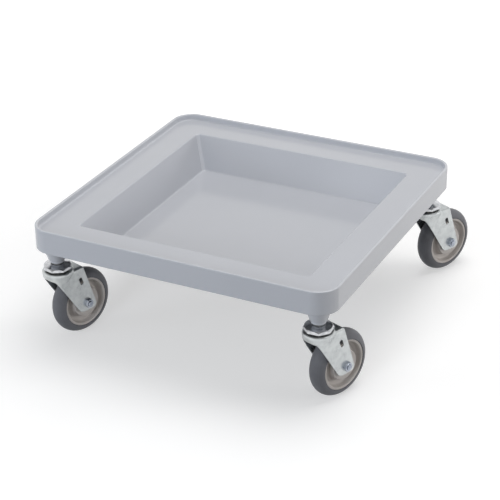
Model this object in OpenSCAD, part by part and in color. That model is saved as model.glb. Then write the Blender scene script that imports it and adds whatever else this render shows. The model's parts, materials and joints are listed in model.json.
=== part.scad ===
// Square dolly for dish and glass racks: a moulded tray with a deep well, carried on four swivel casters.
// Millimetres. The origin is on the floor below the middle of the tray, +Z is up and -Y is the front.
// Each caster is drawn with its swivel axis on Z and its wheel trailing towards +X, then turned and placed.

/* [Tray] */
// Outer width of the square tray
tray_w = 545; // [520:1:600]
// Radius of the tray's outer corners, seen from above
corner_r = 38; // [32:1:48]
// Wall thickness of the moulding
wall_t = 4; // [3:0.25:5]
// Height of the lip above the ledge
lip_h = 11; // [8:0.5:16]
// Thickness of the lip
lip_t = 5; // [4:0.25:7]
// Height of the skirt, from its lower edge up to the ledge
skirt_h = 30.5; // [24:0.5:45]
// Rounding of the lip's top edges
lip_round = 2; // [1:0.25:2.4]
// Fillet between the lip and the ledge
lip_fillet = 3; // [1:0.5:5]
// Rounding of the skirt's lower edges
skirt_round = 1.5; // [0.5:0.25:1.8]

/* [Well] */
// Width of the ledge between the lip and the well
ledge_w = 57.5; // [46:0.5:72]
// Depth of the well below the ledge
well_depth = 60.5; // [45:0.5:66]
// Lean of the well's walls from upright, in degrees
well_draft = 21.4; // [12:0.2:26]
// Width of the narrow flat across each of the well's corners
well_corner_w = 6.7; // [4:0.1:12]
// Rounding of the edge between the ledge and the well
well_edge_r = 3; // [1.5:0.25:6]
// Fillet between the walls and the floor of the well
well_floor_r = 4; // [2:0.5:8]

/* [Underside ribs] */
// Thickness of the ribs below the ledge
rib_t = 3; // [2:0.25:4]
// Ribs along each side
ribs_per_side = 2; // [2:1:8]
// Height of the ribs' lower edge above the skirt's lower edge
rib_setback = 2; // [1:0.5:8]

/* [Corner bosses] */
// Distance of a swivel axis from the tray's outer faces
stem_inset = 34; // [33:0.5:42]
// Radius of a boss at the skirt's lower edge and above
boss_top_r = 22; // [18:0.5:24]
// Radius of a boss at the foot of its cone
boss_foot_r = 14.5; // [13:0.25:17]
// Radius of the collar below the cone
boss_collar_r = 12.5; // [11.5:0.25:13]
// Height of the collar
boss_collar_h = 5; // [2:0.5:10]
// Distance from the skirt's lower edge down to the collar's end
boss_drop = 28.5; // [20:0.5:40]

/* [Stem] */
// Radius of the threaded stem
stem_r = 6.35; // [5:0.05:7]
// Gap between the stem's end and the upper end of its insert
stem_end_gap = 4; // [1:0.5:12]
// Outer radius of the threaded insert in the boss
insert_r = 9; // [8:0.25:10]
// Length of the threaded insert
insert_h = 40; // [28:0.5:48]
// Outer radius of the lock washer
washer_r = 10.8; // [9:0.1:12]
// Thickness of the lock washer
washer_t = 2.5; // [1.5:0.1:3.5]
// Width of the cut through the lock washer
washer_split = 2; // [1:0.25:3]

/* [Swivel head] */
// Sides of the head
head_sides = 8; // [6:2:12]
// Width of the head across its flats
head_af = 46; // [44:0.5:48]
// Height of the head's sides
head_side_h = 5.8; // [4:0.1:8]
// Height of the cone on the head
head_cone_h = 3.2; // [2:0.1:6]
// Radius of the cone's top
head_cone_r = 12; // [11:0.25:14]
// Height of the chamfer that rounds the head's corners
head_chamfer_h = 2.8; // [1.5:0.1:4]
// Reach of that chamfer, in from the corners
head_chamfer_in = 2.8; // [2.4:0.1:4]
// Width of the flat ring between the chamfer and the cone
head_ring_w = 0.6; // [0.3:0.1:1.5]
// Gap between the head and the fork's rim
race_gap = 3.2; // [2.5:0.1:4.5]
// Radius of the kingpin below the head
kingpin_r = 6; // [5:0.05:7]
// Radius of the kingpin's riveted end
rivet_r = 8.5; // [8:0.1:10]
// Height of the kingpin's riveted end
rivet_h = 3; // [2:0.1:5]

/* [Ball races] */
// Diameter of the upper balls
upper_ball_d = 6; // [5.6:0.1:6.4]
// Least gap between the upper balls
upper_ball_gap = 1.2; // [0.4:0.1:3]
// Distance of the upper balls' circle inside the head's flats
upper_race_edge = 6.8; // [6.5:0.1:8]
// Diameter of the lower balls
lower_ball_d = 4.8; // [4.4:0.1:5.4]
// Least gap between the lower balls
lower_ball_gap = 2.2; // [0.4:0.1:3]
// Radius of the lower balls' circle
lower_race_r = 11.3; // [10.4:0.1:12.4]
// Gap between the fork and the lower race
lower_race_gap = 3.6; // [3:0.1:4]
// Distance of the lower race's rim outside the lower balls' circle
lower_race_edge = 4.2; // [3:0.1:5]
// Thickness of the lower race
lower_race_t = 2.5; // [2:0.1:3.5]

/* [Fork] */
// Gap between the tyre and each of the fork's legs
leg_clear = 2; // [1:0.1:4]
// Thickness of the fork's sheet steel
sheet_t = 2.5; // [2:0.1:3]
// Gap between the tyre and the plate above it
wheel_clear = 12; // [8:0.5:20]
// Distance of the axle behind the swivel axis
trail = 44; // [38:0.5:50]
// Distance of the plate's rear edge behind the swivel axis
plate_back = 36.5; // [30:0.5:40]
// Radius of the bend between the plate and the legs
bend_r = 4.5; // [3.5:0.25:6]
// Distance of the rounded front below the cup ahead of the swivel axis
nose_reach = 23.5; // [22:0.25:26]
// Corner radius of that front, seen from above
nose_r = 13; // [8:0.5:17]
// Depth of the front apron below the plate
apron_h = 10.5; // [7:0.5:14]
// Distance of the apron's lower corner ahead of the swivel axis
apron_reach = 19.5; // [16:0.5:21]
// Rounding of the apron's lower corner
apron_round = 6; // [2:0.5:10]
// Radius of the legs' lower ends at the front
toe_r = 15; // [12:0.5:18]
// Distance of that rounding's centre ahead of the axle
toe_ahead = 7.5; // [5:0.25:9]
// Height of that rounding's centre above the axle
toe_lift = 1; // [0:0.25:3]
// Radius of the legs' lower ends at the rear
heel_r = 8; // [6:0.5:10]
// Distance of that rounding's centre behind the axle
heel_back = 10; // [8:0.25:12]
// Distance of the cup's wall outside the head's flats
cup_margin = 3.3; // [2.6:0.1:5]
// Height of the cup's rim above the plate
cup_rise = 3.8; // [2.5:0.1:5]
// Width of the cup's rim
cup_rim_w = 5; // [4.4:0.1:6]
// Rounding of the cup's outer edges
cup_round = 3.6; // [1:0.1:4]
// Depth of the race floor below the rim
race_floor_drop = 1.5; // [1:0.1:2]
// Height over which the cup narrows into the legs
flare_h = 15; // [10:0.5:20]
// Width of the slot in each leg
slot_w = 6; // [4:0.25:8]
// Length of the slot in each leg
slot_l = 12.5; // [8:0.25:16]
// Distance of the slot behind the swivel axis
slot_back = 32.3; // [28:0.25:35]
// Distance of the slot below the plate
slot_drop = 26; // [22:0.5:34]

/* [Wheel] */
// Diameter of the wheel over its tyre
wheel_d = 115; // [108:0.5:120]
// Width of the tyre, round across its tread
tyre_w = 32; // [28:0.25:33]
// Thickness of the tyre between the hub and the tread
tyre_t = 14.2; // [11:0.1:17]
// Distance of the hub's rim inside the tyre's sides
rim_step = 1.3; // [0.6:0.1:3]
// Radial thickness of the hub's rim
rim_t = 4; // [2.5:0.1:5]
// Width of the channel between the hub's rim and its raised middle
channel_w = 13.8; // [11:0.1:18]
// Thickness of the hub's web
web_t = 11; // [8:0.5:16]
// Fillet at the bottom of the hub's channels
channel_fillet = 4; // [1:0.25:5]
// Slope of the channels' sides, in degrees
channel_slope = 10; // [2:0.5:16]
// Rounding of the hub's edges
hub_round = 1.2; // [0.4:0.1:1.6]

/* [Axle] */
// Radius of the axle bolt
axle_r = 4.75; // [4:0.05:5]
// Outer radius of the sleeve on the axle bolt
sleeve_r = 6.4; // [6:0.05:7]
// Outer radius of the hub's bushes
bush_r = 9; // [8:0.1:10]
// Length of each bush inside the hub
bush_l = 12; // [8:0.5:15]
// Radius of the bushes' flanges
bush_flange_r = 12.5; // [11:0.25:14]
// Thickness of the bushes' flanges
bush_flange_t = 1; // [0.6:0.1:1.6]
// Sides of the axle nut and of the bolt's head
nut_sides = 6; // [6:2:8]
// Width of the axle nut and the bolt's head across their flats
nut_af = 14.3; // [12.5:0.1:16]
// Height of the axle nut
nut_h = 5.5; // [4:0.1:8]
// Height of the bolt's head
bolt_head_h = 6; // [4:0.1:8]
// Length of the bolt's end beyond the nut
bolt_end_l = 1.8; // [1:0.1:4]
// Height of the chamfer on the nut and the bolt's head
nut_chamfer_h = 0.9; // [0.4:0.1:1.2]

/* [Fits] */
// Clearance of the pieces that turn on each other
running_clear = 0.06; // [0.02:0.01:0.1]
// Clearance of the pieces that are pressed or screwed together
seat_clear = 0.03; // [0.01:0.01:0.05]
// Clearance of the balls in their races
ball_clear = 0.12; // [0.1:0.01:0.2]
// Gap beside the bushes' flanges
side_gap = 0.3; // [0.2:0.05:0.5]

/* [Caster directions] */
// Direction in which the front left wheel trails, from +X
front_left_turn = 72; // [0:0.5:360]
// Direction in which the front right wheel trails, from +X
front_right_turn = 69.5; // [0:0.5:360]
// Direction in which the back right wheel trails, from +X
back_right_turn = 65; // [0:0.5:360]
// Direction in which the back left wheel trails, from +X
back_left_turn = 67; // [0:0.5:360]
// Direction of a corner of the front left head, from +X
front_left_head_turn = 10; // [0:0.5:45]
// Direction of a corner of the front right head, from +X
front_right_head_turn = 24.5; // [0:0.5:45]
// Direction of a corner of the back right head, from +X
back_right_head_turn = 41; // [0:0.5:45]
// Direction of a corner of the back left head, from +X
back_left_head_turn = 33; // [0:0.5:45]

/* [Hidden] */
$fn = 64;
// How far a cut runs past the face that it opens
overrun = 1;
// Flat pieces in each rounded corner of an outline
arc_steps = 7;

// Heights, from the floor up
axle_z = wheel_d / 2;
plate_under = wheel_d + wheel_clear;
plate_top = plate_under + sheet_t;
rim_top = plate_top + cup_rise;
race_floor = rim_top - race_floor_drop;
race_under = race_floor - sheet_t;
head_under = rim_top + race_gap;
head_side_top = head_under + head_side_h;
head_top = head_side_top + head_cone_h;
boss_end = head_top + washer_t;
boss_cone_foot = boss_end + boss_collar_h;
skirt_foot = boss_end + boss_drop;
ledge_z = skirt_foot + skirt_h;
ledge_under = ledge_z - wall_t;
lip_top = ledge_z + lip_h;
well_floor = ledge_z - well_depth;
upper_ball_z = (head_under + race_floor) / 2;
lower_race_top = race_under - lower_race_gap;
lower_ball_z = race_under - lower_race_gap / 2;
lower_race_under = lower_race_top - lower_race_t;

// Places and half sizes
tray_half = tray_w / 2;
stem_place = tray_half - stem_inset;
well_half = tray_half - lip_t - ledge_w;
well_across = sqrt(2) * well_half - well_corner_w / 2;
corner_draft = atan(sqrt(2) * tan(well_draft));
stem_reach = insert_h - stem_end_gap;
head_corner_r = corner_radius(head_af, head_sides);
head_core_r = head_corner_r - head_chamfer_in - head_ring_w;
upper_race_r = head_af / 2 - upper_race_edge;
upper_ball_count = floor(2 * PI * upper_race_r / (upper_ball_d + upper_ball_gap));
lower_ball_count = floor(2 * PI * lower_race_r / (lower_ball_d + lower_ball_gap));
lower_race_outer_r = lower_race_r + lower_race_edge;
fork_gap = tyre_w + 2 * leg_clear;
fork_half = fork_gap / 2 + sheet_t;
cup_r = head_af / 2 + cup_margin;
flare_foot = plate_under - flare_h;
toe = [trail - toe_ahead, axle_z + toe_lift];
heel = [trail + heel_back, toe.y - toe_r + heel_r];
leg_back = heel.x + heel_r;
bush_face = fork_gap / 2 - side_gap;
hub_face = bush_face - bush_flange_t;
hub_r = wheel_d / 2 - tyre_t;
hub_boss_r = hub_r - rim_t - channel_w;
rim_w = tyre_w - 2 * rim_step;
tread_r = tyre_w / 2;

// How far the swept rims reach into the plates that they join
lip_lap_share = 0.5;
lip_lap = (corner_r - lip_t) * lip_lap_share;
// Draft of the lip's inner face
lip_draft_share = 0.06;
lip_lean = lip_h * lip_draft_share;
// Rounding of the lower race's edges and of the riveted end, as shares of their heights
race_round_share = 0.3;
rivet_round_share = 0.5;

CORNERS = ["front_left", "front_right", "back_right", "back_left"];
SIDES = [[-1, -1], [1, -1], [1, 1], [-1, 1]];
TURNS = [front_left_turn, front_right_turn, back_right_turn, back_left_turn];
HEAD_TURNS = [front_left_head_turn, front_right_head_turn, back_right_head_turn, back_left_head_turn];
CASTER_PIECES = [
    "stem_insert", "lock_washer", "stem", "upper_balls", "fork", "lower_balls", "lower_race",
    "axle_bolt", "axle_nut", "axle_sleeve", "hub_bushes", "wheel_hub", "tyre"
];

// Outlines
function unit(v) = v / norm(v);

// The radius of the corners of an even-sided outline, from its width across the flats
function corner_radius(af, sides) = af / 2 / cos(180 / sides);

// How far the top of a leaning wall moves out when its face and the ledge both sink by a depth
function level_shift(draft, depth) = depth * (1 - sin(draft)) / cos(draft);

// The shorter way round from one angle to another
function turn(from, to) = let (d = (to - from) % 360) d > 180 ? d - 360 : d < -180 ? d + 360 : d;

function arc(centre, r, from, sweep, steps) =
    [for (i = [0 : steps]) centre + r * [cos(from + sweep * i / steps), sin(from + sweep * i / steps)]];

// The corner b of an outline, between its neighbours a and c, rounded by its own radius b[2]
function corner(a, b, c) =
    let (
        tip = [b.x, b.y],
        to_a = unit([a.x, a.y] - tip),
        to_c = unit([c.x, c.y] - tip),
        half = acos(to_a * to_c) / 2,
        middle = tip + unit(to_a + to_c) * b[2] / sin(half),
        first = tip + to_a * b[2] / tan(half) - middle,
        last = tip + to_c * b[2] / tan(half) - middle,
        from = atan2(first.y, first.x)
    )
    b[2] == 0 ? [tip] : arc(middle, b[2], from, turn(from, atan2(last.y, last.x)), arc_steps);

// An outline through corners given as [x, y, radius]
function rounded(points) =
    let (n = len(points))
    [for (i = [0 : n - 1]) each corner(points[(i + n - 1) % n], points[i], points[(i + 1) % n])];

// Where a line from p touches a circle, on the side given as 1 or -1
function touch(p, centre, r, side) =
    let (d = centre - p, angle = atan2(d.y, d.x) + side * asin(r / norm(d)))
    p + sqrt(d * d - r * r) * [cos(angle), sin(angle)];

function angle_at(centre, p) = atan2(p.y - centre.y, p.x - centre.x);

function rounded_square(half, r) =
    rounded([[half, half, r], [-half, half, r], [-half, -half, r], [half, -half, r]]);

// Sweeps a profile round a square with rounded corners. The profile's x runs out from the corners' centres.
module swept_square(half, r) {
    side = half - r;
    for (k = [0 : 3]) {
        rotate(90 * k) {
            translate([side, side]) rotate_extrude(angle = 90) children();
            translate([side, side]) rotate([90, 0, 0]) linear_extrude(2 * side) children();
        }
    }
}

module at_bosses() {
    for (s = SIDES) {
        translate([s.x * stem_place, s.y * stem_place]) children();
    }
}

module place_caster(i) {
    translate([SIDES[i].x * stem_place, SIDES[i].y * stem_place]) rotate(TURNS[i]) children();
}

module place_stem(i) {
    translate([SIDES[i].x * stem_place, SIDES[i].y * stem_place]) rotate(HEAD_TURNS[i]) children();
}

// Turns Z into the axle's direction, from the bolt's head to its nut
module on_axle() {
    translate([trail, 0, axle_z]) rotate([90, 0, 0]) children();
}

// A head or nut with flat sides that stands on z = 0, with its upper corners chamfered
module sided_head(sides, af, h, chamfer_h, chamfer_in) {
    tip_r = corner_radius(af, sides);
    intersection() {
        cylinder(h = h, r = tip_r, $fn = sides);
        rotate_extrude() polygon([
            [0, 0], [tip_r + overrun, 0], [tip_r + overrun, h - chamfer_h], [tip_r, h - chamfer_h],
            [tip_r - chamfer_in, h], [0, h]
        ]);
    }
}

module ball_ring(count, ring_r, z, d) {
    for (k = [0 : count - 1]) {
        rotate(360 * k / count) translate([ring_r, 0, z]) sphere(d = d);
    }
}

module ball_groove(ring_r, z, d) {
    rotate_extrude() translate([ring_r, z]) circle(d = d + 2 * ball_clear);
}

// The skirt, the lip above it and the strip of ledge beside them
module skirt_profile() {
    lip_in = corner_r - lip_t;
    ledge_in = lip_in - lip_lean - lip_lap;
    polygon(rounded([
        [corner_r, skirt_foot, skirt_round], [corner_r, lip_top, lip_round],
        [lip_in, lip_top, lip_round], [lip_in - lip_lean, ledge_z, lip_fillet],
        [ledge_in, ledge_z, 0], [ledge_in, ledge_under, 0],
        [corner_r - wall_t, ledge_under, lip_fillet], [corner_r - wall_t, skirt_foot, skirt_round]
    ]));
}

// The room between two leaning walls, open at the top, with a rounded brim and filleted at its foot
module leaning_walls(half, draft, top, foot, edge_r, floor_r) {
    foot_half = half - (top - foot) * tan(draft);
    brim = half + edge_r;
    translate([0, tray_w]) rotate([90, 0, 0]) linear_extrude(2 * tray_w) polygon(rounded([
        [foot_half, foot, floor_r], [half, top, edge_r], [brim, top, 0], [brim, top + overrun, 0],
        [-brim, top + overrun, 0], [-brim, top, 0], [-half, top, edge_r], [-foot_half, foot, floor_r]
    ]));
}

// The well's form, with a narrow flat across each corner, at a depth below its inner face
module well_form(depth, edge_r, floor_r) {
    top = ledge_z - depth;
    foot = well_floor - depth;
    half = well_half + level_shift(well_draft, depth);
    across = well_across + level_shift(corner_draft, depth);
    intersection() {
        leaning_walls(half, well_draft, top, foot, edge_r, floor_r);
        rotate(90) leaning_walls(half, well_draft, top, foot, edge_r, floor_r);
        rotate(45) leaning_walls(across, corner_draft, top, foot, edge_r, floor_r);
        rotate(135) leaning_walls(across, corner_draft, top, foot, edge_r, floor_r);
    }
}

module ledge_plate() {
    translate([0, 0, ledge_under]) linear_extrude(wall_t)
        polygon(rounded_square(tray_half - lip_t, corner_r - lip_t));
}

// An upright rib from the well's wall to the skirt, below the ledge
module rib() {
    foot = skirt_foot + rib_setback;
    top = ledge_under + wall_t / 2;
    wall_mid = wall_t / 2 / cos(well_draft);
    wall_top = well_half + wall_mid - (ledge_z - top) * tan(well_draft);
    wall_foot = well_half + wall_mid - (ledge_z - foot) * tan(well_draft);
    skirt_mid = tray_half - wall_t / 2;
    translate([0, rib_t / 2]) rotate([90, 0, 0]) linear_extrude(rib_t)
        polygon([[wall_top, top], [skirt_mid, top], [skirt_mid, foot], [wall_foot, foot]]);
}

module side_ribs() {
    pitch = 2 * stem_place / (ribs_per_side + 1);
    for (k = [0 : 3], i = [1 : ribs_per_side]) {
        rotate(90 * k) translate([0, i * pitch - stem_place]) rib();
    }
}

// A boss that narrows to the collar on which a caster is tightened, with webs out to the skirt
module boss() {
    web_h = ledge_under - skirt_foot - rib_setback + wall_t / 2;
    rotate_extrude() polygon([
        [0, boss_end], [boss_collar_r, boss_end], [boss_collar_r, boss_cone_foot],
        [boss_foot_r, boss_cone_foot], [boss_top_r, skirt_foot],
        [boss_top_r, ledge_under + wall_t / 2], [0, ledge_under + wall_t / 2]
    ]);
    for (a = [0, 90]) {
        rotate(a) translate([0, -rib_t / 2, skirt_foot + rib_setback])
            cube([stem_inset - wall_t / 2, rib_t, web_h]);
    }
}

module tray() {
    color([0.70, 0.72, 0.76]) difference() {
        union() {
            swept_square(tray_half, corner_r) skirt_profile();
            ledge_plate();
            well_form(wall_t, well_edge_r, well_floor_r + wall_t);
            side_ribs();
            for (i = [0 : len(SIDES) - 1]) {
                translate([SIDES[i].x * stem_place, SIDES[i].y * stem_place]) rotate(90 * (i + 2)) boss();
            }
        }
        well_form(0, well_edge_r, well_floor_r);
        at_bosses() translate([0, 0, boss_end - overrun])
            cylinder(h = insert_h + overrun, r = insert_r + seat_clear);
    }
}

module stem_insert() {
    color([0.72, 0.66, 0.45]) translate([0, 0, boss_end]) difference() {
        cylinder(h = insert_h, r = insert_r);
        translate([0, 0, -overrun]) cylinder(h = insert_h + 2 * overrun, r = stem_r + seat_clear);
    }
}

module lock_washer() {
    color([0.55, 0.56, 0.58]) translate([0, 0, head_top]) difference() {
        cylinder(h = washer_t, r = washer_r);
        translate([0, 0, -overrun]) cylinder(h = washer_t + 2 * overrun, r = stem_r + seat_clear);
        translate([0, -washer_split / 2, -overrun])
            cube([washer_r + overrun, washer_split, washer_t + 2 * overrun]);
    }
}

// The stem, its sided head with the upper race, and the kingpin that is riveted below the lower race
module stem() {
    rivet_under = lower_race_under - rivet_h;
    stem_end = boss_end + stem_reach;
    head_middle = head_under + head_side_h / 2;
    color([0.80, 0.81, 0.82]) difference() {
        union() {
            rotate_extrude() polygon(rounded([
                [0, stem_end, 0], [0, rivet_under, 0], [rivet_r, rivet_under, rivet_h * rivet_round_share],
                [rivet_r, lower_race_under, 0], [kingpin_r, lower_race_under, 0], [kingpin_r, head_middle, 0],
                [head_core_r, head_middle, 0], [head_core_r, head_side_top, 0], [head_cone_r, head_top, 0],
                [stem_r, head_top, 0], [stem_r, stem_end, 0]
            ]));
            translate([0, 0, head_under])
                sided_head(head_sides, head_af, head_side_h, head_chamfer_h, head_chamfer_in);
        }
        ball_groove(upper_race_r, upper_ball_z, upper_ball_d);
    }
}

module upper_balls() {
    color([0.75, 0.76, 0.78]) ball_ring(upper_ball_count, upper_race_r, upper_ball_z, upper_ball_d);
}

module lower_balls() {
    color([0.75, 0.76, 0.78]) ball_ring(lower_ball_count, lower_race_r, lower_ball_z, lower_ball_d);
}

module lower_race() {
    round_r = lower_race_t * race_round_share;
    color([0.62, 0.63, 0.65]) difference() {
        rotate_extrude() polygon(rounded([
            [kingpin_r + seat_clear, lower_race_under, 0], [lower_race_outer_r, lower_race_under, round_r],
            [lower_race_outer_r, lower_race_top, round_r], [kingpin_r + seat_clear, lower_race_top, 0]
        ]));
        ball_groove(lower_race_r, lower_ball_z, lower_ball_d);
    }
}

// The fork seen from above: parallel sides with a rounded nose, open to the rear. inset moves it inwards.
module fork_plan(inset) {
    half = fork_half - inset;
    back = leg_back + (inset > 0 ? overrun : 0);
    r = nose_r - inset;
    polygon(rounded([
        [back, -half, 0], [back, half, 0], [inset - nose_reach, half, r], [inset - nose_reach, -half, r]
    ]));
}

// The fork seen from behind: the plate's bends down into the legs. inset moves it inwards.
module fork_section(inset) {
    half = fork_half - inset;
    r = bend_r - inset;
    polygon(rounded([
        [half, 0, 0], [half, plate_top - inset, r], [-half, plate_top - inset, r], [-half, 0, 0]
    ]));
}

// The fork seen from the side: apron, leading edge, lower end with its toe and heel, and trailing edge
lead_corner = [-apron_reach, plate_top - apron_h];
plate_corner = [plate_back, plate_top];
lead_touch = touch(lead_corner, toe, toe_r, -1);
trail_touch = touch(plate_corner, heel, heel_r, 1);
toe_from = angle_at(toe, lead_touch);
straight_down = -90;
trail_lean = atan2(trail_touch.x - plate_corner.x, plate_corner.y - trail_touch.y);

module fork_side() {
    ahead = -max(cup_r, nose_reach) - overrun;
    above = rim_top + overrun;
    polygon(concat(
        [[plate_back, above], [ahead, above], [ahead, lead_corner.y]],
        corner([ahead, lead_corner.y], [lead_corner.x, lead_corner.y, apron_round], lead_touch),
        arc(toe, toe_r, toe_from, turn(toe_from, straight_down), arc_steps),
        arc(heel, heel_r, straight_down, turn(straight_down, angle_at(heel, trail_touch)), arc_steps)
    ));
}

module fork_block(inset) {
    back = 2 * (leg_back + overrun);
    intersection() {
        linear_extrude(plate_top - inset) fork_plan(inset);
        translate([-back / 2, 0]) rotate([90, 0, 90]) linear_extrude(back) fork_section(inset);
    }
}

// The cup round the ball race, flaring out of the legs, and the space inside its sheet
module cup_outer() {
    rim_in = cup_r - cup_rim_w;
    rotate_extrude() polygon(rounded([
        [0, flare_foot, 0], [fork_half, flare_foot, 0], [cup_r, plate_under, cup_round],
        [cup_r, rim_top, cup_round], [rim_in, rim_top, race_floor_drop / 2],
        [rim_in - race_floor_drop, race_floor, race_floor_drop / 2], [0, race_floor, 0]
    ]));
}

module cup_inner() {
    rim_in = cup_r - cup_rim_w;
    rotate_extrude() polygon([
        [0, flare_foot - overrun], [fork_half - sheet_t, flare_foot - overrun],
        [fork_half - sheet_t, flare_foot], [cup_r - sheet_t, plate_under],
        [cup_r - sheet_t, rim_top - sheet_t], [rim_in - sheet_t / 2, rim_top - sheet_t],
        [rim_in - race_floor_drop - sheet_t / 2, race_under], [0, race_under]
    ]);
}

module fork() {
    across = 2 * (cup_r + overrun);
    color([0.78, 0.79, 0.80]) difference() {
        intersection() {
            union() {
                fork_block(0);
                cup_outer();
            }
            translate([0, across / 2]) rotate([90, 0, 0]) linear_extrude(across) fork_side();
        }
        fork_block(sheet_t);
        cup_inner();
        ball_groove(upper_race_r, upper_ball_z, upper_ball_d);
        ball_groove(lower_race_r, lower_ball_z, lower_ball_d);
        translate([0, 0, race_under - overrun])
            cylinder(h = sheet_t + 2 * overrun, r = kingpin_r + running_clear);
        on_axle() translate([0, 0, -across / 2]) cylinder(h = across, r = axle_r + seat_clear);
        translate([slot_back, across / 2, plate_top - slot_drop]) rotate([90, 0, 0]) rotate(trail_lean)
            translate([-slot_w / 2, -slot_l / 2]) cube([slot_w, slot_l, across]);
    }
}

module axle_bolt() {
    shank = 2 * fork_half + nut_h + bolt_end_l;
    color([0.74, 0.75, 0.77]) on_axle() {
        translate([0, 0, -fork_half]) cylinder(h = shank, r = axle_r);
        translate([0, 0, -fork_half]) mirror([0, 0, 1])
            sided_head(nut_sides, nut_af, bolt_head_h, nut_chamfer_h, nut_chamfer_h);
    }
}

module axle_nut() {
    color([0.74, 0.75, 0.77]) on_axle() translate([0, 0, fork_half]) difference() {
        sided_head(nut_sides, nut_af, nut_h, nut_chamfer_h, nut_chamfer_h);
        translate([0, 0, -overrun]) cylinder(h = nut_h + 2 * overrun, r = axle_r + seat_clear);
    }
}

module axle_sleeve() {
    color([0.66, 0.67, 0.69]) on_axle() translate([0, 0, -fork_gap / 2]) difference() {
        cylinder(h = fork_gap, r = sleeve_r);
        translate([0, 0, -overrun]) cylinder(h = fork_gap + 2 * overrun, r = axle_r + seat_clear);
    }
}

// The two flanged bushes on which the hub turns
module hub_bushes() {
    color([0.92, 0.90, 0.84]) on_axle() for (side = [0, 1]) {
        mirror([0, 0, side]) difference() {
            union() {
                translate([0, 0, hub_face - bush_l]) cylinder(h = bush_l, r = bush_r);
                translate([0, 0, hub_face]) cylinder(h = bush_flange_t, r = bush_flange_r);
            }
            translate([0, 0, hub_face - bush_l - overrun])
                cylinder(h = bush_l + bush_flange_t + 2 * overrun, r = sleeve_r + running_clear);
        }
    }
}

// Half of the hub's section: raised middle, channel with rounded bottom, and rim
module hub_section() {
    depth = rim_w / 2 - web_t / 2;
    lean = depth * tan(channel_slope);
    rim_in = hub_r - rim_t;
    boss_foot = hub_boss_r + (hub_face - web_t / 2) * tan(channel_slope);
    polygon(rounded([
        [bush_r + seat_clear, 0, 0], [bush_r + seat_clear, hub_face, 0], [hub_boss_r, hub_face, hub_round],
        [boss_foot, web_t / 2, channel_fillet], [rim_in - lean, web_t / 2, channel_fillet],
        [rim_in, rim_w / 2, hub_round], [hub_r, rim_w / 2, hub_round], [hub_r, 0, 0]
    ]));
}

module wheel_hub() {
    color([0.55, 0.50, 0.46]) on_axle() {
        rotate_extrude() hub_section();
        mirror([0, 0, 1]) rotate_extrude() hub_section();
    }
}

module tyre() {
    color([0.26, 0.26, 0.28]) on_axle() rotate_extrude() difference() {
        translate([wheel_d / 2 - tread_r, 0]) circle(r = tread_r);
        translate([0, -tyre_w]) square([hub_r + seat_clear, 2 * tyre_w]);
    }
}

tray();
for (i = [0 : len(CORNERS) - 1]) {
    name = CORNERS[i];
    place_stem(i) stem_insert();
    place_stem(i) lock_washer();
    place_stem(i) stem();
    place_caster(i) upper_balls();
    place_caster(i) fork();
    place_caster(i) lower_balls();
    place_caster(i) lower_race();
    place_caster(i) axle_bolt();
    place_caster(i) axle_nut();
    place_caster(i) axle_sleeve();
    place_caster(i) hub_bushes();
    place_caster(i) wheel_hub();
    place_caster(i) tyre();
}
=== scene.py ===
import json
import math

import bmesh
import bpy
from mathutils import Matrix, Vector


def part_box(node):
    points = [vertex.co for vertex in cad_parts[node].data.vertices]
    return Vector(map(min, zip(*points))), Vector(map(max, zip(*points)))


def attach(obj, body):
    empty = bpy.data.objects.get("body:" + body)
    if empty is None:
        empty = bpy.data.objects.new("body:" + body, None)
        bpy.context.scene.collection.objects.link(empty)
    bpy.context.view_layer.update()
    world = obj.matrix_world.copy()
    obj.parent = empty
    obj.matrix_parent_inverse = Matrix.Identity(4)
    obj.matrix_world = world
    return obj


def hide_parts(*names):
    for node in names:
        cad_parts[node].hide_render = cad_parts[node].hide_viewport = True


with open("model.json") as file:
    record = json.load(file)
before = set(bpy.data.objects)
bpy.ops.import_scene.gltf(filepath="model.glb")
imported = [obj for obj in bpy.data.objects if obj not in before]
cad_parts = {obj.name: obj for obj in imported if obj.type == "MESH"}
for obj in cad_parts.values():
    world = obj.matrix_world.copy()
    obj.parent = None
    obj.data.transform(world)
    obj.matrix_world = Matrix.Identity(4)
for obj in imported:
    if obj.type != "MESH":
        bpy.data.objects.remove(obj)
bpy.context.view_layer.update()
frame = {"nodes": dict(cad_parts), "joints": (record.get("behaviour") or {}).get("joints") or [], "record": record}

# Tray
# One injection moulding in grey plastic with a soft gloss: a skirt with a raised lip, a flat ledge on
# which a rack stands, and a deep well with leaning walls. Ribs and caster bosses hang below the ledge.
scene = bpy.context.scene
mounts = {mount["name"]: Vector(mount["pos_m"]) for mount in frame["record"]["mounts"]}
joints = {joint["name"]: joint for joint in frame["joints"]}
corners = [name.removesuffix("_swivel") for name in joints if name.endswith("_swivel")]
tray_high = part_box("tray")[1]
tray_half = tray_high.x
lip_top = tray_high.z
ledge = mounts["rack_ledge"].z
well_floor = mounts["well_floor"].z
wall_t = 0.004
corner_r = 0.038
lip_t = 0.005
lip_round = 0.002
lip_fillet = 0.003
lip_lean = 0.00066
skirt_drop = 0.0305
skirt_foot = ledge - skirt_drop
skirt_round = 0.0015
ledge_w = 0.0575
well_half = tray_half - lip_t - ledge_w
well_lean = math.radians(21.4)
well_floor_half = well_half - (ledge - well_floor) * math.tan(well_lean)
well_corner_r = 0.0032
well_corner_cut = 0.00286
well_outer_corner_r = 0.006
well_outer_corner_cut = 0.00334
well_edge_r = 0.003
well_floor_r = 0.004
wall_shift = wall_t * (1 - math.sin(well_lean)) / math.cos(well_lean)
well_turn = math.pi / 2 - well_lean
upright = math.pi / 2
corner_steps = 14
fillet_steps = 5


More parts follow.
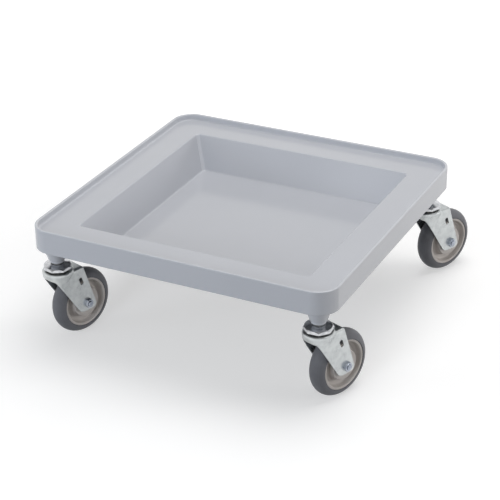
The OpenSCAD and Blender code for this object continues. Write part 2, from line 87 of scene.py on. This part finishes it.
def set_ring(verts, half, radius, height, cut):
    """Moves a ring from a circle to a level rounded square; a cut parts each corner's arc by a flat."""
    out = half - radius
    for vert in verts:
        x, y = (out, out - cut) if abs(vert.co.x) > abs(vert.co.y) else (out - cut, out)
        corner = Vector((math.copysign(x, vert.co.x), math.copysign(y, vert.co.y), height))
        vert.co = corner + radius * vert.co


def edges_rounded(bm, edges, width, steps):
    """Rounds edges by a width on each of their faces."""
    bmesh.ops.bevel(
        bm, geom=edges, offset=width, offset_type="OFFSET", segments=steps, profile=0.5,
        affect="EDGES", material=-1, clamp_overlap=True,
    )


def tray_shell():
    """The skirt, lip, ledge and well, in rings from the well's floor outwards and back below."""
    inner_half, inner_r = tray_half - wall_t, corner_r - wall_t
    ledge_half, ledge_r = tray_half - lip_t - lip_lean, corner_r - lip_t - lip_lean
    stations = [
        (well_floor_half, well_corner_r, well_floor, well_corner_cut, well_floor_r, well_turn),
        (well_half, well_corner_r, ledge, well_corner_cut, well_edge_r, well_turn),
        (ledge_half, ledge_r, ledge, 0, lip_fillet, upright),
        (tray_half - lip_t, corner_r - lip_t, lip_top, 0, lip_round, upright),
        (tray_half, corner_r, lip_top, 0, lip_round, upright),
        (tray_half, corner_r, skirt_foot, 0, skirt_round, upright),
        (inner_half, inner_r, skirt_foot, 0, skirt_round, upright),
        (inner_half, inner_r, ledge - wall_t, 0, lip_fillet, upright),
        (well_half + wall_shift, well_outer_corner_r, ledge - wall_t, well_outer_corner_cut,
         well_edge_r, well_turn),
        (well_floor_half + wall_shift, well_outer_corner_r, well_floor - wall_t,
         well_outer_corner_cut, well_floor_r + wall_t, well_turn),
    ]
    bm = bmesh.new()
    step = math.pi / 2 / corner_steps
    circle_r = 1 / math.cos(step / 2)
    ring = bmesh.ops.create_circle(bm, segments=4 * corner_steps, radius=circle_r)["verts"]
    bmesh.ops.rotate(bm, verts=ring, cent=(0, 0, 0), matrix=Matrix.Rotation(step / 2, 3, "Z"))
    edges = bm.edges[:]
    rings = [[edge.verts[:] for edge in edges]]
    for station in stations[:-1]:
        grown = bmesh.ops.extrude_edge_only(bm, edges=edges)["geom"]
        set_ring(ring, *station[:4])
        ring = [vert for vert in grown if isinstance(vert, bmesh.types.BMVert)]
        edges = [edge for edge in grown if isinstance(edge, bmesh.types.BMEdge) and edge.is_boundary]
        rings.append([edge.verts[:] for edge in edges])
    set_ring(ring, *stations[-1][:4])
    for ends in (rings[0], rings[-1]):
        bmesh.ops.edgeloop_fill(bm, edges=[bm.edges.get(pair) for pair in ends])
    bmesh.ops.recalc_face_normals(bm, faces=bm.faces)
    for pairs, (*_, radius, turn) in zip(rings, stations):
        ring_edges = [bm.edges.get(pair) for pair in pairs]
        edges_rounded(bm, ring_edges, radius * math.tan(turn / 2), fillet_steps)
    return bm


profile_steps = 4
merge_gap = 1e-6


def corners_rounded(bm, verts, cut, steps):
    """Rounds a profile's corners, each by a cut along its two edges."""
    bmesh.ops.bevel(
        bm, geom=verts, offset=cut, offset_type="OFFSET", segments=steps, profile=0.5,
        affect="VERTICES", material=-1,
    )


def spun(bm, steps):
    """Turns a profile fully about Z, with its seam and poles closed and its faces outwards."""
    bmesh.ops.spin(
        bm, geom=bm.verts[:] + bm.edges[:], cent=(0, 0, 0), axis=(0, 0, 1), angle=2 * math.pi,
        steps=steps, use_merge=True,
    )
    bmesh.ops.remove_doubles(bm, verts=bm.verts, dist=merge_gap)
    bmesh.ops.recalc_face_normals(bm, faces=bm.faces)


def turned(points, steps):
    """A body turned about Z from (radius, height, cut) points; the cut rounds the point's corner."""
    bm = bmesh.new()
    verts = [bm.verts.new((radius, 0, height)) for radius, height, _ in points]
    for ends in zip(verts, verts[1:]):
        bm.edges.new(ends)
    for vert, (_, _, cut) in zip(verts, points):
        if cut:
            corners_rounded(bm, [vert], cut, profile_steps)
    spun(bm, steps)
    return bm


def added(bm, other, place):
    """Puts another mesh, moved into its place, into a bmesh as a body of its own, and frees it."""
    other.transform(place)
    loose = bpy.data.meshes.new("loose")
    other.to_mesh(loose)
    other.free()
    bm.from_mesh(loose)
    bpy.data.meshes.remove(loose)


def as_object(name, bm):
    """An object made of a bmesh, which is freed."""
    mesh = bpy.data.meshes.new(name)
    bm.to_mesh(mesh)
    bm.free()
    made = bpy.data.objects.new(name, mesh)
    scene.collection.objects.link(made)
    return made


def as_bmesh(worked, *tools):
    """The bmesh of an object with its modifiers worked in; it and its tools are removed."""
    bm = bmesh.new()
    bm.from_object(worked, bpy.context.evaluated_depsgraph_get())
    for spare in (worked, *tools):
        mesh = spare.data
        bpy.data.objects.remove(spare)
        bpy.data.meshes.remove(mesh)
    return bm


def combined(bm, other, operation):
    """The bmesh that a Boolean makes of two solid ones."""
    body, tool = as_object("body", bm), as_object("tool", other)
    combine = body.modifiers.new("combine", "BOOLEAN")
    combine.operation = operation
    combine.solver = "EXACT"
    combine.use_self = True
    combine.object = tool
    return as_bmesh(body, tool)


def slab(low, high):
    """A block between two corners."""
    bm = bmesh.new()
    low, high = Vector(low), Vector(high)
    bmesh.ops.create_cube(bm, size=1)
    bmesh.ops.scale(bm, vec=high - low, verts=bm.verts)
    bmesh.ops.translate(bm, vec=(low + high) / 2, verts=bm.verts)
    return bm


rib_t = 0.003
rib_places = [share * joints[corners[1] + "_swivel"]["pos_m"][0] for share in (-1 / 3, 1 / 3)]
rib_lift = 0.002
rib_foot = skirt_foot + rib_lift
boss_top_r = 0.022
boss_foot_r = 0.0145
boss_collar_r = 0.0125
boss_drop = 0.0285
boss_end = skirt_foot - boss_drop
boss_collar_h = 0.005
boss_cone_foot = boss_end + boss_collar_h
boss_end_cut = 0.0012
boss_neck_cut = 0.0006
boss_foot_cut = 0.0009
boss_top_cut = 0.004
boss_steps = 72
bore_r = 0.00903
bore_deep = 0.04
bore_top = boss_end + bore_deep
lap = wall_t / 2


def tray_underside():
    """The ribs between the skirt and the well's wall, and the corner bosses with their webs."""
    bm = bmesh.new()
    top = ledge - lap
    for turn in range(4):
        for along in rib_places:
            rib = slab(
                (along - rib_t / 2, -tray_half + lap, rib_foot), (along + rib_t / 2, -well_half, top)
            )
            for vert in rib.verts:
                if vert.co.y > -well_half - lap:
                    vert.co.y += (ledge - vert.co.z) * math.tan(well_lean) - lap
            added(bm, rib, Matrix.Rotation(turn * math.pi / 2, 4, "Z"))
    for corner in corners:
        x, y, _ = joints[corner + "_swivel"]["pos_m"]
        place = Matrix.Translation((x, y, 0))
        boss = turned([
            (0, bore_top, 0), (bore_r, bore_top, 0), (bore_r, boss_end, 0),
            (boss_collar_r, boss_end, boss_end_cut), (boss_collar_r, boss_cone_foot, boss_neck_cut),
            (boss_foot_r, boss_cone_foot, boss_foot_cut), (boss_top_r, skirt_foot, boss_top_cut),
            (boss_top_r, top, 0), (0, top, 0),
        ], boss_steps)
        added(bm, boss, place)
        reach = tray_half - lap - abs(x)
        for turn in (math.atan2(0, x), math.atan2(y, 0)):
            web = slab((boss_collar_r, -rib_t / 2, rib_foot), (reach, rib_t / 2, top))
            added(bm, web, place @ Matrix.Rotation(turn, 4, "Z"))
    return bm


class Wire:
    """A shader socket that takes part in sums; every operation adds a node to its tree."""

    def __init__(self, tree, socket=None):
        self.tree = tree
        self.socket = socket

    def make(self, kind, settings=None, sockets=None, out=0):
        """Adds a node, sets it up, gives its sockets values or links, and wraps one of its outputs."""
        node = self.tree.nodes.new(kind)
        for name, value in (settings or {}).items():
            setattr(node, name, value)
        for name, value in (sockets or {}).items():
            if isinstance(value, Wire):
                self.tree.links.new(value.socket, node.inputs[name])
            else:
                node.inputs[name].default_value = value
        return Wire(self.tree, node.outputs[out] if node.outputs else None)

    def sums(self, operation, one, other):
        """A Math node of two values."""
        return self.make("ShaderNodeMath", {"operation": operation}, {0: one, 1: other})

    def __add__(self, other):
        return self.sums("ADD", self, other)

    def __radd__(self, other):
        return self.sums("ADD", other, self)

    def __sub__(self, other):
        return self.sums("SUBTRACT", self, other)

    def __rsub__(self, other):
        return self.sums("SUBTRACT", other, self)

    def __mul__(self, other):
        return self.sums("MULTIPLY", self, other)

    def __rmul__(self, other):
        return self.sums("MULTIPLY", other, self)

    def within(self, low, high):
        """0 below one value, 1 above the other, smooth between them."""
        return self.make(
            "ShaderNodeMapRange", {"interpolation_type": "SMOOTHSTEP"},
            {"Value": self, "From Min": low, "From Max": high},
        )

    def tinted(self, one, other):
        """A colour between two, by this value."""
        return self.make("ShaderNodeMix", {"data_type": "RGBA"}, {0: self, 6: one, 7: other}, 2)

    def noise(self, scale, detail):
        """Noise at this place, about 0.5."""
        return self.make(
            "ShaderNodeTexNoise", {}, {"Vector": self, "Scale": scale, "Detail": detail}
        )

    def stretched(self, scale, turn=(0, 0, 0), shift=(0, 0, 0)):
        """This place, scaled, turned and moved."""
        return self.make(
            "ShaderNodeMapping", {},
            {"Vector": self, "Scale": scale, "Rotation": turn, "Location": shift},
        )

    def length(self):
        """How far this place lies from its origin."""
        return self.make("ShaderNodeVectorMath", {"operation": "LENGTH"}, {0: self}, "Value")

    def height(self):
        """How high this place lies."""
        return self.make("ShaderNodeSeparateXYZ", {}, {0: self}, "Z")

    def bumped(self, height, strength):
        """The normal of a surface that rises by this value times a height."""
        return self.make(
            "ShaderNodeBump", {}, {"Height": self, "Distance": height, "Strength": strength}
        )


def new_finish(name):
    """A material with no nodes yet, a wire to make them from, and the place on its piece."""
    material = bpy.data.materials.new(name)
    material.use_nodes = True
    material.node_tree.nodes.clear()
    wire = Wire(material.node_tree)
    return material, wire, wire.make("ShaderNodeTexCoord", out="Object")


def surfaced(wire, sockets):
    """Ends a material in one shader."""
    shader = wire.make("ShaderNodeBsdfPrincipled", {}, sockets)
    wire.make("ShaderNodeOutputMaterial", {}, {"Surface": shader})


def shown(name, bm, finish, body, node, sharp=38):
    """A piece made of a bmesh, smooth up to an angle, that rides on a body in a node's stead."""
    piece = as_object(name, bm)
    piece.data.shade_smooth()
    piece.data.set_sharp_from_angle(angle=math.radians(sharp))
    piece.data.materials.append(finish)
    piece.modifiers.new("even_shading", "WEIGHTED_NORMAL").keep_sharp = True
    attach(piece, body)
    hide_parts(node)


grey_dark, grey_light = (0.496, 0.512, 0.552, 1), (0.552, 0.566, 0.604, 1)
grey_scuffs_and_highlight = (0.66, 0.67, 0.70, 1)
plastic_ior = 1.49


def tray_finish():
    """Soft gloss plastic with a fine grain, scuffed where racks slide over the ledge and lip, and with a painted
    highlight along the lip's top.
    """
    material, wire, place = new_finish("tray_plastic")
    height = place.height()
    cloud = place.noise(7, 3)
    speck = place.noise(900, 1)
    scratch = place.stretched((18, 700, 60), (0, 0, 0.5)).noise(1, 2).within(0.66, 0.74)
    scratch_across = place.stretched((640, 22, 60), (0, 0, 0.2)).noise(1, 2).within(0.67, 0.75)
    used = height.within(ledge - 0.001, ledge) * place.noise(14, 2).within(0.42, 0.62)
    rubbed = used * (scratch + scratch_across)
    # Painted highlight: the top 2 mm of the lip are lightened a quarter of the way to the pale grey, for the light
    # along the lip's rounded top edge.
    edge = height.within(lip_top - 0.002, lip_top)
    tone = (cloud * 0.75 + speck * 0.25).tinted(grey_dark, grey_light)
    # The pale grey serves both the scuffs on the ledge and the painted highlight on the lip.
    tone = (rubbed * 0.10 + edge * 0.25).tinted(tone, grey_scuffs_and_highlight)
    grain = place.noise(650, 2) * 0.6 + place.noise(60, 2) * 1.4 - rubbed * 0.25
    surfaced(wire, {
        "Base Color": tone,
        "Roughness": 0.12 + cloud * 0.06 + rubbed * 0.06,
        "Normal": grain.bumped(0.00004, 0.4),
        "IOR": plastic_ior,
    })
    return material


tray_solid = combined(tray_shell(), tray_underside(), "UNION")
shown("moulded_tray", tray_solid, tray_finish(), "tray", "tray")

# Stems and lock washers
# Each caster hangs from a plated steel stem with an eight sided head, screwed into a brass insert that
# is moulded into the boss; a split spring washer below the boss locks it, and the kingpin is riveted.
nodes = frame["nodes"]


def caster_axes(corner):
    """A point on a caster's upright swivel axis, and one on its wheel's axle."""
    return (Vector(joints[corner + kind]["pos_m"]) for kind in ("_swivel", "_roll"))


def caster_place(corner):
    """Where a caster stands, with its swivel axis on Z and its wheel trailing to +X."""
    swivel, roll = caster_axes(corner)
    back = roll - swivel
    turn = Matrix.Rotation(math.atan2(back.y, back.x), 4, "Z")
    return Matrix.Translation((swivel.x, swivel.y, 0)) @ turn


def tip_faced(place, node):
    """A place turned about its Z axis until +X points at a corner of the flat sided node there."""
    inside = place.inverted()
    spots = (inside @ vert.co for vert in nodes[node].data.vertices)
    tip = max(spots, key=lambda co: round(co.xy.length, 5))
    return place @ Matrix.Rotation(math.atan2(tip.y, tip.x), 4, "Z")


def copied(pattern, place):
    """A copy of a pattern, put in its place."""
    bm = pattern.copy()
    bm.transform(place)
    return bm


sliver = 1e-7
ease_steps = 2


def eased(bm, width, turn=30):
    """Rounds the edges of a machined piece that turn by more than an angle."""
    bmesh.ops.remove_doubles(bm, verts=bm.verts, dist=sliver)
    paired = (edge for edge in bm.edges if len(edge.link_faces) == 2)
    sharp = [edge for edge in paired if edge.calc_face_angle() > math.radians(turn)]
    edges_rounded(bm, sharp, width, ease_steps)


bar_spare = 0.001


def sided_bar(sides, af, low, high, limit):
    """A bar with flat sides and a corner on +X, cut to a turned body that ends at the two heights."""
    bm = bmesh.new()
    tip_r = af / 2 / math.cos(math.pi / sides)
    depth = high - low + 2 * bar_spare
    bmesh.ops.create_cone(
        bm, cap_ends=True, segments=sides, radius1=tip_r, radius2=tip_r, depth=depth
    )
    tip = next(iter(bm.verts)).co
    to_tip = Matrix.Rotation(-math.atan2(tip.y, tip.x), 3, "Z")
    bmesh.ops.rotate(bm, verts=bm.verts, matrix=to_tip)
    bmesh.ops.translate(bm, verts=bm.verts, vec=(0, 0, (low + high) / 2))
    return combined(bm, limit, "INTERSECT")


stem_low, stem_high = (end.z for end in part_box(corners[0] + "_stem"))
race_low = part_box(corners[0] + "_lower_race")[0].z
head_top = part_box(corners[0] + "_lock_washer")[0].z
head_cone_h = 0.0032
head_side_top = head_top - head_cone_h
head_side_h = 0.0058
head_low = head_side_top - head_side_h
head_sides = 8
head_af = 0.046
head_tip_r = head_af / 2 / math.cos(math.pi / head_sides)
head_chamfer_h = 0.0028
head_chamfer_low = head_side_top - head_chamfer_h
head_chamfer_in = 0.0028
head_step = 0.0006
head_core_r = head_tip_r - head_chamfer_in - head_step
head_cone_r = 0.012
head_cone_cut = 0.0006
stem_r = 0.00635
stem_end_cut = 0.001
kingpin_r = 0.006
rivet_r = 0.0085
rivet_cut = 0.0015
groove_r = 0.0162
groove_half = 0.0021
groove_deep = 0.0008
groove_cut = 0.0012
stem_ease = 0.00035
stem_steps = 96


def stem_body():
    """The head with its ball groove, the stem above it and the riveted kingpin below."""
    beyond = head_tip_r + bar_spare
    limit = turned([
        (0, head_low, 0), (groove_r - groove_half, head_low, 0),
        (groove_r, head_low + groove_deep, groove_cut), (groove_r + groove_half, head_low, 0),
        (beyond, head_low, 0), (beyond, head_chamfer_low, 0), (head_tip_r, head_chamfer_low, 0),
        (head_tip_r - head_chamfer_in, head_side_top, 0), (0, head_side_top, 0),
    ], stem_steps)
    head = sided_bar(head_sides, head_af, head_low, head_side_top, limit)
    head_middle = (head_low + head_side_top) / 2
    core = turned([
        (0, stem_low, 0), (rivet_r, stem_low, rivet_cut), (rivet_r, race_low, 0),
        (kingpin_r, race_low, 0), (kingpin_r, head_middle, 0), (head_core_r, head_middle, 0),
        (head_core_r, head_side_top, 0), (head_cone_r, head_top, head_cone_cut),
        (stem_r, head_top, 0), (stem_r, stem_high, stem_end_cut), (0, stem_high, 0),
    ], stem_steps)
    body = combined(head, core, "UNION")
    eased(body, stem_ease)
    return body


def metal_finish(name, dark, light, rough, blotch=160):
    """Plated or plain metal with cloudy plating and fine drawn lines."""
    material, wire, place = new_finish(name)
    cloud = place.noise(blotch, 3)
    lines = place.stretched((40, 40, 2600)).noise(1, 1)
    surfaced(wire, {
        "Base Color": cloud.within(0.3, 0.7).tinted(dark, light),
        "Metallic": 1.0,
        "Roughness": rough + (cloud - 0.5) * 0.16 + (lines - 0.5) * 0.06,
        "Normal": (lines + cloud * 2).bumped(0.00003, 0.35),
    })
    return material


def dressed(piece, finish, places=corners):
    """Gives a CAD node of every caster, or of some, a finish."""
    for corner in places:
        materials = nodes[corner + "_" + piece].data.materials
        materials.clear()
        materials.append(finish)


plated = metal_finish("plated_steel", (0.50, 0.51, 0.53, 1), (0.66, 0.67, 0.69, 1), 0.18)
# Painted shade: the lock washer's near-black steel stands for the dark ring of shade under each boss's end.
spring = metal_finish("spring_steel", (0.08, 0.085, 0.09, 1), (0.17, 0.175, 0.18, 1), 0.34)
brass = metal_finish("insert_brass", (0.55, 0.38, 0.14, 1), (0.72, 0.52, 0.22, 1), 0.34)
stem_pattern = stem_body()
for corner in corners:
    node = corner + "_stem"
    stem = copied(stem_pattern, tip_faced(caster_place(corner), node))
    shown(corner + "_sided_stem", stem, plated, "tray", node)
stem_pattern.free()
dressed("lock_washer", spring)
dressed("stem_insert", brass)

# Ball races
# Two rings of hardened steel balls carry the fork between the stem's head, the cup pressed into the
# fork and a lower race; they run in a film of grease and hardly show.
greased = metal_finish("ball_steel", (0.40, 0.38, 0.34, 1), (0.66, 0.65, 0.62, 1), 0.12)
dressed("upper_balls", greased)
dressed("lower_balls", greased)
dressed("lower_race", plated)

# Forks
# Bright zinc plated sheet steel, drawn in a press into two legs, a round cup for the balls and a short
# apron; the metal flows from the cup into the legs, and its cut edges are rounded by tumbling.
fork_voxel = 0.0006
edge_passes = 3
flow_low = 0.100
flow_high = 0.1265
flow_passes = 60
skin_depth = 0.0008
flat_turn = math.radians(0.4)
fork_sharp = 60


def relaxed(bm, verts, passes):
    """Draws vertices towards their neighbours, pass by pass."""
    for _ in range(passes):
        bmesh.ops.smooth_vert(
            bm, verts=verts, factor=0.5, use_axis_x=True, use_axis_y=True, use_axis_z=True
        )


def pressed_fork(corner):
    """The fork about its swivel axis: the node's own shape, with the crease below the cup smoothed."""
    bm = bmesh.new()
    bm.from_mesh(nodes[corner + "_fork"].data)
    bmesh.ops.remove_doubles(bm, verts=bm.verts, dist=merge_gap)
    bm.transform(caster_place(corner).inverted())
    sheet = as_object("fork_sheet", bm)
    skin = sheet.modifiers.new("skin", "REMESH")
    skin.mode = "VOXEL"
    skin.voxel_size = fork_voxel
    fork = as_bmesh(sheet)
    relaxed(fork, fork.verts, edge_passes)
    leg_half = max(vert.co.y for vert in fork.verts if vert.co.z < flow_low)
    outer = [
        vert for vert in fork.verts
        if flow_low < vert.co.z < flow_high
        and max(abs(vert.co.y), vert.co.xy.length if vert.co.x < 0 else 0) > leg_half - skin_depth
        and vert.normal.xy.dot(vert.co.xy) > 0
    ]
    relaxed(fork, outer, flow_passes)
    bmesh.ops.dissolve_limit(
        fork, angle_limit=flat_turn, use_dissolve_boundaries=False, verts=fork.verts, edges=fork.edges
    )
    return fork


fork_dark, fork_light = (0.485, 0.507, 0.512, 1), (0.577, 0.60, 0.60, 1)
fork_zinc = metal_finish("fork_steel", fork_dark, fork_light, 0.30, blotch=90)
fork_pattern = pressed_fork(corners[0])
for corner in corners:
    fork = copied(fork_pattern, caster_place(corner))
    rider, node = corner + "_caster", corner + "_fork"
    shown(corner + "_pressed_fork", fork, fork_zinc, rider, node, fork_sharp)
fork_pattern.free()

# Axles
# A zinc plated bolt goes through both legs and is held by a nut on its threaded end; the wheel turns
# on a plain steel sleeve around the bolt.


def wheel_place(corner):
    """Where a wheel made about Z stands: its axis is laid level, with +Z towards the bolt's head."""
    swivel, roll = caster_axes(corner)
    trail = (roll - swivel).to_2d().length
    laid = Matrix.Rotation(-math.pi / 2, 4, "X")
    return caster_place(corner) @ Matrix.Translation((trail, 0, roll.z)) @ laid


leg_face = 0.0205
nut_sides = 6
nut_af = 0.0143
nut_h = 0.0055
nut_chamfer = 0.0009
nut_chamfer_in = 0.00144
nut_steps = 72
nut_ease = 0.0002
bolt_head_h = 0.006
bolt_past = 0.0018
bolt_end = leg_face + nut_h + bolt_past
bolt_lap = 0.001
bolt_steps = 48
bolt_sharp = 50
axle_r = 0.00475
thread_deep = 0.0005
thread_pitch = 0.00125


def nut_limit(low, high, bore):
    """A turned body that cuts the corners of a nut or bolt head off at its outer end, and its bore."""
    tip_r = nut_af / 2 / math.cos(math.pi / nut_sides)
    start = high - math.copysign(nut_chamfer, high - low)
    return turned([
        (bore, low, 0), (tip_r + nut_chamfer, low, 0), (tip_r + nut_chamfer, start, 0),
        (tip_r, start, 0), (tip_r - nut_chamfer_in, high, 0), (bore, high, 0), (bore, low, 0),
    ], nut_steps)


def axle_nut_body():
    """The nut, seated on the leg."""
    end = -leg_face - nut_h
    nut = sided_bar(nut_sides, nut_af, end, -leg_face, nut_limit(-leg_face, end, axle_r))
    eased(nut, nut_ease)
    return nut


def axle_bolt_body():
    """The bolt, with rolled grooves on the end that stands out of its nut."""
    grooves = []
    height = -leg_face
    while height > -bolt_end + thread_pitch:
        grooves += [(axle_r, height, 0), (axle_r - thread_deep, height - thread_pitch / 2, 0)]
        height -= thread_pitch
    core = turned([
        (0, leg_face + bolt_lap, 0), (axle_r, leg_face + bolt_lap, 0), *grooves,
        (axle_r, -bolt_end + thread_deep, 0), (axle_r - thread_deep, -bolt_end, 0),
        (0, -bolt_end, 0),
    ], bolt_steps)
    end = leg_face + bolt_head_h
    head = sided_bar(nut_sides, nut_af, leg_face, end, nut_limit(leg_face, end, 0))
    bolt = combined(head, core, "UNION")
    eased(bolt, nut_ease, bolt_sharp)
    return bolt


bright_zinc = metal_finish("bright_zinc", (0.30, 0.33, 0.39, 1), (0.46, 0.49, 0.55, 1), 0.13)
fasteners = [
    ("_axle_nut", "_chamfered_nut", axle_nut_body()),
    ("_axle_bolt", "_threaded_bolt", axle_bolt_body()),
]
for plain, shape, pattern in fasteners:
    for corner in corners:
        rider, node = corner + "_caster", corner + plain
        fastener = copied(pattern, tip_faced(wheel_place(corner), node))
        shown(corner + shape, fastener, bright_zinc, rider, node)
    pattern.free()
dressed("axle_sleeve", plated)

# Hubs and bushes
# The hub is moulded in taupe plastic, with a deep channel on each side between its rim and the raised
# middle, and turns on two flanged nylon bushes that are pressed into it.
wheel_ior = 1.5


def wheel_finish(name, corner, dark, light, rough, rings):
    """Moulded rubber or plastic with a fine grain and faint rings around the axle."""
    material, wire, place = new_finish(name)
    turn = wheel_place(corner).inverted()
    local = place.stretched((1, 1, 1), tuple(turn.to_euler()), tuple(turn.to_translation()))
    flat = wire.make("ShaderNodeVectorMath", {"operation": "MULTIPLY"}, {0: local, 1: (1, 1, 0)})
    radius = flat.length()
    around = wire.make("ShaderNodeCombineXYZ", {}, {"X": radius * rings, "Y": 0.3}).noise(1, 2)
    cloud = place.noise(45, 3)
    grain = place.noise(900, 2)
    surfaced(wire, {
        "Base Color": (cloud * 0.7 + around * 0.3).within(0.25, 0.75).tinted(dark, light),
        "Roughness": rough + (cloud - 0.5) * 0.12,
        "Normal": (grain + around).bumped(0.00008, 0.5),
        "IOR": wheel_ior,
    })
    return material


wheel_r = joints[corners[0] + "_roll"]["pos_m"][2]
tyre_deep = 0.0142
hub_r = wheel_r - tyre_deep
hub_face = 0.0167
hub_boss_r = 0.0255
hub_bore_r = 0.00903
hub_bore_cut = 0.0005
hub_steps = 120
rim_half = 0.0147
rim_t = 0.004
rim_inner_r = hub_r - rim_t
web_half = 0.0055
channel_slope = math.tan(math.radians(10))
channel_cut = 0.0034
edge_cut = 0.0012


def hub_body():
    """The hub, turned about Z."""
    side = [
        (hub_bore_r, hub_face, hub_bore_cut), (hub_boss_r, hub_face, edge_cut),
        (hub_boss_r + (hub_face - web_half) * channel_slope, web_half, channel_cut),
        (rim_inner_r - (rim_half - web_half) * channel_slope, web_half, channel_cut),
        (rim_inner_r, rim_half, edge_cut), (hub_r, rim_half, edge_cut / 2),
    ]
    other_side = [(radius, -height, cut) for radius, height, cut in side[::-1]]
    return turned(side + other_side + [(hub_bore_r, hub_face, 0)], hub_steps)


hub_dark, hub_light = (0.47, 0.44, 0.418, 1), (0.59, 0.552, 0.525, 1)
nylon_dark, nylon_light = (0.62, 0.61, 0.57, 1), (0.72, 0.71, 0.67, 1)
hub_pattern = hub_body()
for corner in corners:
    rider, node = corner + "_wheel", corner + "_wheel_hub"
    hub = copied(hub_pattern, wheel_place(corner))
    taupe = wheel_finish(corner + "_hub_plastic", corner, hub_dark, hub_light, 0.42, 900)
    shown(corner + "_moulded_hub", hub, taupe, rider, node)
    nylon = wheel_finish(corner + "_bush_nylon", corner, nylon_dark, nylon_light, 0.38, 700)
    dressed("hub_bushes", nylon, [corner])
hub_pattern.free()

# Tyres
# A band of dark grey rubber, round across its tread, that is moulded onto the hub's rim.
tread_r = 0.016
tread_steps = 56
tyre_edge_cut = 0.0008
tyre_edge_steps = 3
tyre_steps = 128


def tyre_body():
    """The tyre, turned about Z."""
    bm = bmesh.new()
    upended = Matrix.Rotation(math.pi / 2, 4, "X")
    bmesh.ops.create_circle(
        bm, segments=tread_steps, radius=tread_r,
        matrix=Matrix.Translation((wheel_r - tread_r, 0, 0)) @ upended,
    )
    bmesh.ops.bisect_plane(
        bm, geom=bm.verts[:] + bm.edges[:], plane_co=(hub_r, 0, 0), plane_no=(1, 0, 0),
        clear_inner=True,
    )
    ends = [vert for vert in bm.verts if len(vert.link_edges) == 1]
    bm.edges.new(ends)
    corners_rounded(bm, ends, tyre_edge_cut, tyre_edge_steps)
    spun(bm, tyre_steps)
    return bm


rubber_dark, rubber_light = (0.112, 0.114, 0.126, 1), (0.152, 0.155, 0.169, 1)
tyre_pattern = tyre_body()
for corner in corners:
    rider, node = corner + "_wheel", corner + "_tyre"
    tyre = copied(tyre_pattern, wheel_place(corner))
    rubber = wheel_finish(corner + "_tyre_rubber", corner, rubber_dark, rubber_light, 0.55, 500)
    shown(corner + "_round_tyre", tyre, rubber, rider, node)
tyre_pattern.free()

# Studio
# A pale floor that runs out to a white surround, soft lamps overhead, in front and on both sides, and
# a long lens from the front right, above the tray.
floor_half = 6
floor_bm = bmesh.new()
bmesh.ops.create_grid(floor_bm, x_segments=8, y_segments=8, size=floor_half)
floor = as_object("pale_floor", floor_bm)


def seen_rays(wire):
    """1 for rays that reach the eye straight, by a mirror or through glass, 0 for light on surfaces."""
    path = ("Is Camera Ray", "Is Glossy Ray", "Is Transmission Ray")
    straight, mirrored, through = (wire.make("ShaderNodeLightPath", out=kind) for kind in path)
    return wire.sums("MAXIMUM", wire.sums("MAXIMUM", straight, mirrored), through)


floor_finish, wire, place = new_finish("pale_floor")
# Painted shade: the floor's glow is weaker within about 0.35 m of the middle and full from 1.5 m out, so the floor
# under and around the tray reads darker to the eye and in mirrored faces.
out = place.length().within(0.35, 1.5)
matt = wire.make("ShaderNodeBsdfDiffuse", {}, {"Color": (0.2, 0.2, 0.2, 1)})
pale = wire.make("ShaderNodeBsdfDiffuse", {}, {"Color": (0.62, 0.62, 0.62, 1)})
white = out.tinted((0.46, 0.46, 0.46, 1), (0.85, 0.85, 0.85, 1))
glow = wire.make("ShaderNodeEmission", {}, {"Color": white})
lit = wire.make("ShaderNodeAddShader", {}, {0: pale, 1: glow})
ground = wire.make("ShaderNodeMixShader", {}, {0: seen_rays(wire), 1: matt, 2: lit})
wire.make("ShaderNodeOutputMaterial", {}, {"Surface": ground})
floor.data.materials.append(floor_finish)

world = bpy.data.worlds.new("studio")
scene.world = world
world.use_nodes = True
world.node_tree.nodes.clear()
wire = Wire(world.node_tree)
rise = wire.make("ShaderNodeTexCoord", out="Generated").height()
backdrop = rise.within(0.45, 0.95).tinted((1, 1, 1, 1), (0.25, 0.25, 0.25, 1))
dim = wire.make("ShaderNodeBackground", {}, {"Color": backdrop, "Strength": 0.42})
bright = wire.make("ShaderNodeBackground", {}, {"Color": backdrop, "Strength": 1.0})
surround = wire.make("ShaderNodeMixShader", {}, {0: seen_rays(wire), 1: dim, 2: bright})
wire.make("ShaderNodeOutputWorld", {}, {"Surface": surround})

lamp_aim = Vector((0, 0, 0.15))


def lamp(name, place, size, power, colour, mirrored):
    """A soft square lamp, never seen itself; only a mirrored one shows in glossy faces."""
    data = bpy.data.lights.new(name, "AREA")
    data.shape = "SQUARE"
    data.size = size
    data.energy = power
    data.color = colour
    light = bpy.data.objects.new(name, data)
    light.location = place
    light.rotation_euler = (lamp_aim - Vector(place)).to_track_quat("-Z", "Y").to_euler()
    light.visible_camera = False
    light.visible_glossy = mirrored
    scene.collection.objects.link(light)


warm, cool = (1.0, 0.985, 0.97), (0.86, 0.92, 1.0)
lamp("overhead_lamp", (0.3, 0.5, 2.6), 2.0, 44, (1.0, 0.99, 0.98), True)
lamp("right_lamp", (2.5, 1.1, 0.25), 0.62, 26, warm, False)
lamp("front_lamp", (-0.12, -2.75, 0.95), 1.0, 20, cool, False)
lamp("left_lamp", (-2.0, -1.9, 0.3), 0.9, 17, cool, False)
lamp("window_lamp", (-1.06, -3.0, 1.09), 0.28, 0.6, (0.92, 0.95, 1.0), True)

photo_px = 500
lens_px = 1608.0
eye = Vector((1.1076, -2.2170, 1.4018))
azimuth, elevation, roll = (math.radians(angle) for angle in (26.50, 27.57, -0.67))
camera_data = bpy.data.cameras.new("camera")
camera_data.sensor_width = 36
camera_data.lens = lens_px * camera_data.sensor_width / photo_px
camera = bpy.data.objects.new("camera", camera_data)
camera.matrix_world = (
    Matrix.Translation(eye) @ Matrix.Rotation(azimuth, 4, "Z")
    @ Matrix.Rotation(math.pi / 2 - elevation, 4, "X") @ Matrix.Rotation(roll, 4, "Z")
)
scene.collection.objects.link(camera)
scene.camera = camera
scene.view_settings.view_transform = "Standard"
